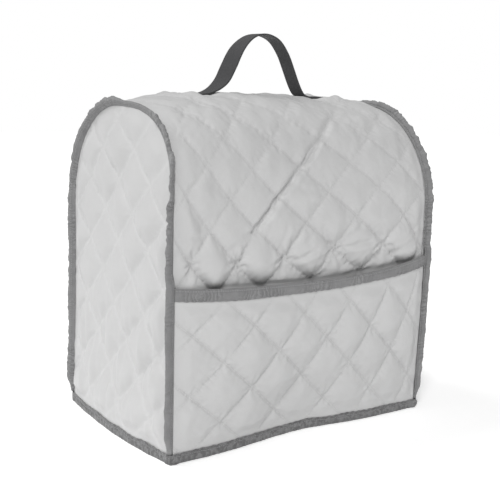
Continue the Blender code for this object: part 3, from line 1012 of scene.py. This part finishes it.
def woven_webbing(name, colour):
    """Webbing in a plain weave, whose humps alternate both ways, with a sewn box at each foot.

    The map holds millimetres along the webbing and from its middle line."""
    material, shader, root = start_material(name)
    along, across = split_map(root, "tape")
    where = root.node("ShaderNodeTexCoord", output="Object")
    fibre = noise(root, where, 1100.0, 2.0)
    cloud = noise(root, where, 45.0, 2.0)
    warp = (across * (2 * math.pi / WARP_PITCH)).sine()
    weft = (along * (2 * math.pi / WEFT_PITCH)).sine()
    humps = warp * weft
    height = humps * 0.13 + warp.size() * 0.07 + fibre * 0.05
    # Painted light and shade on the weave: its humps lighter and its hollows darker
    base = mix_colour(root, humps * 0.5 + 0.5, tint(colour, 0.72), tint(colour, 1.25))
    pale, dark = fibre.ease(0.35, 0.75) * 0.35, cloud.ease(0.35, 0.65) * 0.2
    # The sewn box has a cross in it
    half_long = loop_line()[1][-1] * 1000 / 2
    from_box = ((along - half_long).size() - (half_long - BOX_FROM_END)).size()
    lengthwise = from_box * (BOX_HALF_WIDE / BOX_HALF_LONG)
    sideways = across.size()
    rim = (lengthwise.larger(sideways) - BOX_HALF_WIDE).size()
    cross = (lengthwise - sideways).size().larger(lengthwise - BOX_HALF_WIDE)
    sewn = rim.ease(0.25, 0.6).larger(cross.ease(0.25, 0.6))
    height = height - sewn * 0.12
    base = tinted(root, base, colour, (pale, 1.9), (dark, 0.8), (sewn * 0.7, 2.6))
    finish(root, shader, base, fibre * 0.18 + 0.66, height, sheen=0.10, specular=0.3)
    return material


def one_material(name, make, colour):
    """The named material, made on first use."""
    return bpy.data.materials.get(name) or make(name, tuple(colour))


# Settings


class MixerCoverCloth(bpy.types.PropertyGroup):
    """Colours of the cloth, tape and webbing."""

    shell: FloatVectorProperty(
        name="Quilted cloth",
        description="Colour of the panels",
        subtype="COLOR",
        size=3,
        default=(0.53, 0.53, 0.53),
        min=0,
        max=1,
    )
    tape: FloatVectorProperty(
        name="Tape",
        description="Colour of the bindings",
        subtype="COLOR",
        size=3,
        default=(0.20, 0.20, 0.202),
        min=0,
        max=1,
    )
    webbing: FloatVectorProperty(
        name="Webbing",
        description="Colour of the handle",
        subtype="COLOR",
        size=3,
        default=(0.042, 0.042, 0.044),
        min=0,
        max=1,
    )
    grain: FloatProperty(
        name="Cloth step",
        description="Distance between points of the quilted cloth",
        default=0.0020,
        min=0.0015,
        max=0.01,
        unit="LENGTH",
    )


class MixerCoverStage(bpy.types.PropertyGroup):
    """Floor and light."""

    floor_colour: FloatVectorProperty(
        name="Floor",
        description="Colour of the floor",
        subtype="COLOR",
        size=3,
        default=(0.93, 0.93, 0.93),
        min=0,
        max=1,
    )
    sky: FloatProperty(
        name="Sky", description="Strength of the even light", default=0.31, min=0
    )
    key: FloatProperty(
        name="Key", description="Strength of the light from the front left", default=1.84, min=0
    )
    rim: FloatProperty(
        name="Rim", description="Strength of the light from the back left", default=1.20, min=0
    )


# Pieces


def grid_counts(long, wide, grain, step):
    """Rows and columns for a sheet of that size, each one more than a multiple of step."""
    return [int(round(size / grain / step)) * step + 1 for size in (long, wide)]


def lay_sheet(name, node, long, wide, grain, face):
    """Lays the quilted sheet that stands for the node.

    face(rows, columns, back) gives the points and the maps of the sheet's face or of its lining,
    which is coarser."""
    cloth = bpy.context.scene.mixer_cover_cloth
    material = one_material("quilted_cloth_face", quilted_cloth, cloth.shell)
    rows, columns = grid_counts(long, wide, cloth.grain * grain, LINING_STEP)
    fine = face(rows, columns, False)
    coarse = face((rows - 1) // LINING_STEP + 1, (columns - 1) // LINING_STEP + 1, True)
    seat(quilted_sheet(name, fine, coarse, LINING_STEP, material), "quilted_cloth", node)


class MIXERCOVER_OT_long_panel(bpy.types.Operator):
    """Lays the cloth that runs up the front, over the top and down the back"""

    bl_idname = "mixercover.long_panel"
    bl_label = "Long panel"

    def execute(self, context):
        def face(rows, columns, back):
            u, v = shares(rows, columns)
            x = (u - 0.5) * WIDTH
            s = HEM_EDGE + v * (GIRTH - 2 * HEM_EDGE)
            out = long_panel_swell(x, s) + (-CLOTH if back else long_panel_puff(x, s))
            faint = 0.45 * smooth_step(0.27, 0.33, s) + 0.42 * smooth_step(0.33, 0.40, s)
            drawn = 1 - faint * smooth_step(0.62, 0.54, s)
            return drape(*wrap(x, s, out)), cloth_maps(*front_lattice(x, s), x, s, drawn)

        lay_sheet("quilted_long_panel", "long_panel", WIDTH, GIRTH, 1.0, face)
        return {"FINISHED"}


class MIXERCOVER_OT_side_panels(bpy.types.Operator):
    """Lays the two round-topped side cloths"""

    bl_idname = "mixercover.side_panels"
    bl_label = "Side panels"

    def execute(self, context):
        for side, name in ((-1, "left"), (1, "right")):

            def face(rows, columns, back):
                u, v = shares(rows, columns)
                # Columns stand side by side from the hem up to the arch
                y = RADIUS * np.sin(math.pi * (u - 0.5))
                top = SPRING + RADIUS * np.cos(math.pi * (u - 0.5))
                z = HEM_EDGE + v * (top - HEM_EDGE)
                out = WIDTH / 2 + GAP + (0.0 if back else CLOTH + side_puff(-y * side, z))
                maps = cloth_maps(*side_lattice(-y * side, z), y, z, SIDE_DRAWN, SIDE_LIT)
                return drape(side * out + 0 * y, y, z), maps

            lay_sheet(f"quilted_side_{name}", f"side_panel_{name}", DEPTH, HEIGHT, 0.9, face)
        return {"FINISHED"}


def lay_tape(name, node, points, along, around_from=0.0, ring=False):
    """Lays the tape that stands for the node: sections of points at places along it, in metres."""
    cloth = bpy.context.scene.mixer_cover_cloth
    tape = one_material("grey_binding_tape", binding_tape, cloth.tape)
    around = np.linspace(0, 1, points.shape[1] + 1) + around_from
    seat(swept(name, points, along * 1000, around, tape, ring), "grey_tape", node)


MOUTH_TAPE_HALF = WIDTH / 2 + 0.0005
MOUTH_STITCH = -0.165  # sets the stitched line high on the mouth's tape, near its fold


class MIXERCOVER_OT_pocket(bpy.types.Operator):
    """Lays the pocket's cloth and the tape over its mouth"""

    bl_idname = "mixercover.pocket"
    bl_label = "Pocket"

    def execute(self, context):
        half = WIDTH / 2 - GAP

        def face(rows, columns, back):
            u, v = shares(rows, columns)
            x = (u - 0.5) * 2 * half
            z = HEM_EDGE + v * (mouth(x) - HEM_EDGE)
            out = pocket_stand(x, z) + (0.0 if back else CLOTH + pocket_puff(x, z))
            return drape(x, -RADIUS - out, z), cloth_maps(*pocket_lattice(x, z), x, z)

        lay_sheet("quilted_pocket", "pocket_panel", WIDTH, POCKET_TOP, 0.85, face)

        x = np.linspace(-MOUTH_TAPE_HALF, MOUTH_TAPE_HALF, 420)
        leg = -BAND + mouth_dip(x) + 0.0003 * line_ripples(x, 0.010, 41)
        leg = leg + 0.0004 * line_ripples(x, 0.05, 42)
        swell = 0.00016 * line_ripples(x, 0.006, 43) + 0.0003 * line_ripples(x, 0.03, 44)
        outline = folded_tape(0.0, CLOTH, leg, TAPE_GAP + TAPE, swell)
        top = mouth(x)[:, None]
        z = top + outline[..., 1]
        stand = pocket_stand(x[:, None], np.minimum(z, top))
        points = drape(x[:, None] + 0 * z, -RADIUS - stand - outline[..., 0], z)
        lay_tape("pocket_mouth_tape", "pocket_binding", points, x, around_from=MOUTH_STITCH)
        return {"FINISHED"}


def pairs(like, first, second):
    """Two columns, each spread over the length of like."""
    return np.stack([first + 0 * like, second + 0 * like], -1)


def folded_tape(inner, outer, leg, fold, swell=0.0):
    """Rounded sections of a tape folded over an edge, as (out, up) for each place along it.

    Two legs lie on the cloth's faces from leg to fold. The outer leg is thin at its edge, drawn in
    along its stitched line 2.4 mm from there, and swells between that line and the fold."""
    leg = np.asarray(leg, dtype=float)
    fold = fold + 0 * leg
    way = np.sign(leg - fold)
    bend = fold + way * TAPE
    tip = leg + way * 0.25 * TAPE
    front, rear = outer + TAPE_GAP, inner - TAPE_GAP
    middle = 0.5 * (leg + fold)
    corners = [
        (front + 0.70 * TAPE, leg),
        (front + 0.95 * TAPE + 0.4 * swell, leg - way * 0.0012),
        (front + 0.55 * TAPE - 0.5 * np.abs(swell), leg - way * 0.0024),
        (front + 1.15 * TAPE + 1.3 * swell, leg - way * 0.0040),
        (front + 1.25 * TAPE + 1.6 * swell, middle),
        (front + 1.15 * TAPE + 1.2 * swell, fold + way * 0.0020),
        (front + 0.80 * TAPE + 0.5 * swell, fold),
        (rear - TAPE, fold),
        (rear - TAPE, middle),
        (rear - 0.85 * TAPE, leg),
        (rear - 0.1 * TAPE, tip),
        (rear - 0.05 * TAPE, middle),
        (rear, bend),
        (front, bend),
        (front + 0.05 * TAPE, middle),
        (front + 0.1 * TAPE, tip),
    ]
    return cut_corners(np.stack([pairs(leg, *corner) for corner in corners], -2))


class MIXERCOVER_OT_hem(bpy.types.Operator):
    """Folds tape over the bottom edge all the way round"""

    bl_idname = "mixercover.hem"
    bl_label = "Hem tape"

    def execute(self, context):
        pitch = 0.0010
        wide = np.linspace(-1, 1, int(WIDTH / pitch), endpoint=False)
        deep = np.linspace(-1, 1, int(DEPTH / pitch), endpoint=False)
        # Each place is a side of the rectangle, 0 front, 1 right, 2 back, 3 left, and a share of it
        side = np.repeat([0, 1, 2, 3], [len(wide), len(deep), len(wide), len(deep)])
        share = np.concatenate([wide, deep, wide, deep])
        run = np.cumsum(np.where(side % 2 == 0, WIDTH / len(wide), DEPTH / len(deep)))
        leg = BAND + 0.0004 * line_ripples(run, 0.009, 51) + 0.0007 * line_ripples(run, 0.05, 52)
        gathered = 0.6 + 0.4 * line_ripples(run, 0.09, 55)
        swell = 0.00065 * gathered * line_ripples(run, 0.0055, 53)
        swell = swell + 0.0004 * line_ripples(run, 0.02, 54)
        front = folded_tape(-CLOTH, STACK, leg, 0.0 * leg, swell)
        rear = folded_tape(-CLOTH, 0.0, leg, 0.0 * leg, swell)
        flank = folded_tape(GAP, GAP + CLOTH, leg, 0.0 * leg, swell)
        # The tape stands out just before each corner, where it goes round the bound seam's end
        from_corner = (1 - np.abs(share)) * np.where(side % 2 == 0, WIDTH, DEPTH) / 2
        bulge = (CORNER_BULGE * bell(from_corner - 0.006, 0.004))[:, None]
        half = WIDTH / 2 + flank[..., 0]
        near, far = -RADIUS - front[..., 0], RADIUS + rear[..., 0]
        side, share = side[:, None], share[:, None]
        x = np.choose(side, [share * half, half + bulge, -share * half, -half - bulge])
        climb = (far - near) * (share + 1) / 2
        y = np.choose(side, [near - bulge, near + climb, far + bulge, far - climb])
        z = np.where(side == 0, front[..., 1], np.where(side == 2, rear[..., 1], flank[..., 1]))
        points = drape(x, y, z)
        points[..., 2] = np.maximum(points[..., 2], 0.0)
        along = np.append(run, run[-1] + pitch)
        lay_tape("hem_tape", "hem_binding", points, along, ring=True)
        return {"FINISHED"}


# Both faces of a fin: share of the way from foot to tip, and how far it is drawn in there
FIN_FACE = ((0.28, 0.22), (0.50, -0.16), (0.80, -0.10))
# Its crest: how far out, in thicknesses of tape, and how far beside its middle, in half fins
FIN_CREST = ((0.0, -0.72), (0.9, -0.35), (0.9, 0.35), (0.0, 0.72))


def fin_wear(side, s):
    """How crumpled, slim and pinched the fin on that side is at the girth s."""
    if side > 0:
        return 1 + 1.6 * bell(s - 0.36, 0.07), 1 - 0.12 * smooth_step(0.30, 0.10, s), 0.0 * s
    crumpled = 0.4 + 3.6 * bell(s - 0.335, 0.045) + 1.4 * bell(s - 0.25, 0.035)
    crumpled = crumpled + smooth_step(0.44, 0.50, s)
    slim = 1 - 0.15 * smooth_step(0.24, 0.30, s) * smooth_step(0.50, 0.46, s)
    slim = slim - 0.45 * smooth_step(0.385, 0.410, s) * smooth_step(0.480, 0.455, s)
    return crumpled, slim, sum(deep * bell(s - at, FIN_PINCH_LONG) for at, deep in FIN_PINCHES)


class MIXERCOVER_OT_seams(bpy.types.Operator):
    """Binds the two arched seams with a fin of tape that stands up along them"""

    bl_idname = "mixercover.seams"
    bl_label = "Bound seams"

    def execute(self, context):
        start = BAND + GAP
        for side, name in ((-1, "left"), (1, "right")):
            s = np.linspace(start, GIRTH - start, 820)
            seam_mouth = mouth(side * WIDTH / 2)
            raised = STACK * (1 - smooth_step(seam_mouth + 0.006, seam_mouth + 0.020, s))
            taper = smooth_step(0.0, FIN_TAPER, np.minimum(s, GIRTH - s) - start)
            crumpled, slim, pinched = fin_wear(side, s)
            # Degrees by which the lean wanders
            wobble = 4 * np.sin(s / 0.031 + side) + 2 * np.sin(s / 0.013)
            wobble = wobble + 5 * crumpled * line_ripples(s, 0.018, 61, side)
            lean = np.radians(between(FIN_LEAN[side], s / GIRTH) + wobble)
            long = FIN * (0.30 + 0.70 * taper) * (1 + 0.05 * np.sin(s / 0.017 + 2 * side))
            uneven = 0.045 * line_ripples(s, 0.012, 62, side) + 0.03 * line_ripples(s, 0.006, 64, side)
            long = long * slim * (1 + crumpled * uneven) * (1 - 0.5 * pinched)
            way = np.stack([np.cos(lean), np.sin(lean)], -1)
            cross = np.stack([-np.sin(lean), np.cos(lean)], -1)
            ribs = line_ripples(s, 0.0055, 63, side) * crumpled**0.5
            thick = (FIN_THICK / 2 * slim * (1 + 0.12 * ribs - 0.5 * pinched))[:, None]
            tip = way * long[:, None] + pairs(s, 0.0, raised / 2)
            high = cross * thick
            foot_a, foot_b = pairs(s, GAP, -FIN_FOOT), pairs(s, -FIN_FOOT, raised + GAP)
            face_a = [(1 - t) * foot_a + t * (tip - high) + high * drawn for t, drawn in FIN_FACE]
            face_b = [(1 - t) * foot_b + t * (tip + high) - high * drawn for t, drawn in FIN_FACE]
            crest = [tip + way * TAPE * out + high * beside for out, beside in FIN_CREST]
            base = [
                pairs(s, -FIN_FOOT * 0.4, raised + GAP),
                pairs(s, GAP, raised + GAP),
                pairs(s, GAP, -FIN_FOOT * 0.4),
            ]
            corners = [foot_a, *face_a, *crest, *face_b[::-1], foot_b, *base]
            outline = cut_corners(np.stack(corners, -2))
            reach = side * (WIDTH / 2 + GAP + CLOTH + outline[..., 0])
            points = drape(*wrap(reach, s[:, None], outline[..., 1]))
            lay_tape(f"seam_tape_{name}", f"seam_binding_{name}", points, s)
        return {"FINISHED"}


def loop_line(step=0.0015):
    """Even points along a Catmull-Rom curve through the strap's knots, and how far along they lie."""
    knots = np.array(STRAP_LOOP)
    ends = np.vstack([2 * knots[0] - knots[1], knots, 2 * knots[-1] - knots[-2]])
    t = np.linspace(0, 1, 24, endpoint=False)[:, None]
    a, b, c, d = (ends[k : k + len(knots) - 1, None] for k in range(4))
    square, cube = 2 * a - 5 * b + 4 * c - d, 3 * b - a - 3 * c + d
    curve = 0.5 * (2 * b + (c - a) * t + square * t**2 + cube * t**3)
    curve = np.vstack([curve.reshape(-1, 2), knots[-1:]])
    run = np.concatenate([[0], np.cumsum(np.hypot(*np.diff(curve, axis=0).T))])
    even = np.linspace(0, run[-1], int(run[-1] / step))
    return np.stack([np.interp(even, run, curve[:, k]) for k in (0, 1)], -1), even


class MIXERCOVER_OT_handle(bpy.types.Operator):
    """Lays the webbing handle over the top and sews its feet down"""

    bl_idname = "mixercover.handle"
    bl_label = "Handle"

    def execute(self, context):
        cloth = context.scene.mixer_cover_cloth
        webbing = one_material("charcoal_webbing_weave", woven_webbing, cloth.webbing)
        line, run = loop_line()
        way = np.gradient(line, axis=0)
        way /= np.hypot(*way.T)[:, None]
        up = np.stack([-way[:, 1], way[:, 0]], -1)
        on_top = np.full(len(line), GIRTH / 2)
        sunk = long_panel_swell(line[:, 0], on_top) * smooth_step(0.02, 0.0, line[:, 1])
        high = HEIGHT + FOOT_GAP + np.maximum(line[:, 1], 0.0) + sunk
        base = drape(line[:, 0], 0 * high, high)
        w = STRAP_WIDE / 2
        # Across the strap and through it: flat faces, rounded selvedges
        flat = (-0.985, -0.9, -0.45, 0.45, 0.9, 0.985)
        under = [(-1, 0.3), *((place, 0.0) for place in flat), (1, 0.3)]
        over = [(1, 0.7), *((place, 1.0) for place in flat[::-1]), (-1, 0.7)]
        section = np.array(under + over)
        across = w * (section[:, 0][None] + 0.006 * line_ripples(run, 0.02, 71)[:, None])
        # The left limb turns its face a little to the front
        twist = 0.30 * bell(line[:, :1] + 0.038, 0.020)
        through = STRAP_THICK * section[:, 1][None] + across * np.sin(twist)
        points = base[:, None, :] + np.stack(
            [up[:, :1] * through, across * np.cos(twist), up[:, 1:] * through], -1
        )
        around = np.append(section[:, 0], section[0, 0]) * w * 1000
        piece = swept("webbing_handle", points, run * 1000, around, webbing, sharp=50)
        seat(piece, "charcoal_webbing", "handle")
        return {"FINISHED"}


# Stage

# Fitted to the photograph: millimetres, radians and metres
CAMERA = {
    "lens": 67.56,
    "yaw": 0.5988,
    "pitch": 0.1767,
    "roll": 0.026,
    "place": (-0.6858, -1.0023, 0.428),
}


def wide_light(name, towards, spread, strength):
    """A sun that stands in the given direction and is spread degrees wide, so its shadows are soft."""
    light = bpy.data.lights.new(name, "SUN")
    light.angle = math.radians(spread)
    light.energy = strength
    lamp = bpy.data.objects.new(name, light)
    lamp.location = Vector(towards) * 3
    lamp.rotation_euler = Vector(towards).to_track_quat("Z", "Y").to_euler()
    bpy.context.scene.collection.objects.link(lamp)
    return lamp


class MIXERCOVER_OT_stage(bpy.types.Operator):
    """Sets out the floor, the light and the camera"""

    bl_idname = "mixercover.stage"
    bl_label = "Stage"

    def execute(self, context):
        scene = context.scene
        stage = scene.mixer_cover_stage
        yaw, pitch, roll = (CAMERA[k] for k in ("yaw", "pitch", "roll"))
        level = Vector((math.sin(yaw), math.cos(yaw), 0.0))
        ahead = level * math.cos(pitch) - Vector((0.0, 0.0, math.sin(pitch)))
        right = Vector((math.cos(yaw), -math.sin(yaw), 0.0))
        up = right.cross(ahead)
        turned_right = math.cos(roll) * right + math.sin(roll) * up
        turned_up = -math.sin(roll) * right + math.cos(roll) * up
        camera = bpy.data.cameras.new("photo_camera")
        camera.lens = CAMERA["lens"]
        camera.sensor_width = 36.0
        camera.clip_start, camera.clip_end = 0.05, 50.0
        eye = bpy.data.objects.new("photo_camera", camera)
        turn = Matrix((turned_right, turned_up, -ahead)).transposed().to_4x4()
        eye.matrix_world = Matrix.Translation(CAMERA["place"]) @ turn
        scene.collection.objects.link(eye)
        scene.camera = eye

        floor_mesh = bpy.data.meshes.new("floor")
        far = 6.0
        corners = [(-far, -far, 0), (far, -far, 0), (far, far, 0), (-far, far, 0)]
        floor_mesh.from_pydata(corners, [], [(0, 1, 2, 3)])
        floor = bpy.data.objects.new("floor", floor_mesh)
        scene.collection.objects.link(floor)
        material, shader, root = start_material("pale_floor")
        where = root.node("ShaderNodeTexCoord", output="Object")
        haze = noise(root, where, 1.2, 2.0)
        colour = tuple(stage.floor_colour)
        plug(root, shader, "Base Color", mix_colour(root, haze, tint(colour, 0.99), tint(colour, 1.01)))
        shader.inputs["Roughness"].default_value = 0.9
        shader.inputs["Specular IOR Level"].default_value = 0.1
        shader.inputs["Emission Color"].default_value = (1.0, 1.0, 1.0, 1.0)
        shader.inputs["Emission Strength"].default_value = 0.26
        floor_mesh.materials.append(material)

        world = bpy.data.worlds.new("studio")
        world.use_nodes = True
        sky = Strand(world.node_tree)
        camera_sees = sky.node("ShaderNodeLightPath", output="Is Camera Ray")
        background = world.node_tree.nodes["Background"]
        background.inputs["Color"].default_value = (1.0, 1.0, 1.0, 1.0)
        strength = camera_sees * (1.0 - stage.sky) + stage.sky
        world.node_tree.links.new(strength.socket, background.inputs["Strength"])
        scene.world = world
        wide_light("key_left", (-0.44, -0.50, 0.745), 18, stage.key)
        wide_light("rim_left", (-0.40, 0.46, 0.79), 24, stage.rim)
        scene.view_settings.view_transform = "Standard"
        return {"FINISHED"}


class MIXERCOVER_PT_panel(bpy.types.Panel):
    """Lists the cover's pieces in the sidebar"""

    bl_label = "Mixer Cover"
    bl_idname = "MIXERCOVER_PT_panel"
    bl_space_type = "VIEW_3D"
    bl_region_type = "UI"
    bl_category = "Mixer Cover"

    def draw(self, context):
        for name in ("mixer_cover_cloth", "mixer_cover_stage"):
            group = getattr(context.scene, name)
            for setting in group.bl_rna.properties.keys():
                if setting not in ("rna_type", "name"):
                    self.layout.prop(group, setting)
        for operator in OPERATORS:
            self.layout.operator(operator.bl_idname)


OPERATORS = (
    MIXERCOVER_OT_long_panel,
    MIXERCOVER_OT_side_panels,
    MIXERCOVER_OT_pocket,
    MIXERCOVER_OT_hem,
    MIXERCOVER_OT_seams,
    MIXERCOVER_OT_handle,
    MIXERCOVER_OT_stage,
)
CLASSES = (MixerCoverCloth, MixerCoverStage, *OPERATORS, MIXERCOVER_PT_panel)


def register():
    for made in CLASSES:
        bpy.utils.register_class(made)
    bpy.types.Scene.mixer_cover_cloth = PointerProperty(type=MixerCoverCloth)
    bpy.types.Scene.mixer_cover_stage = PointerProperty(type=MixerCoverStage)


def unregister():
    del bpy.types.Scene.mixer_cover_stage
    del bpy.types.Scene.mixer_cover_cloth
    for made in reversed(CLASSES):
        bpy.utils.unregister_class(made)


def main():
    register()
    bpy.ops.mixercover.stage()
    bpy.ops.mixercover.long_panel()
    bpy.ops.mixercover.side_panels()
    bpy.ops.mixercover.pocket()
    bpy.ops.mixercover.hem()
    bpy.ops.mixercover.seams()
    bpy.ops.mixercover.handle()


if __name__ == "__main__":
    main()
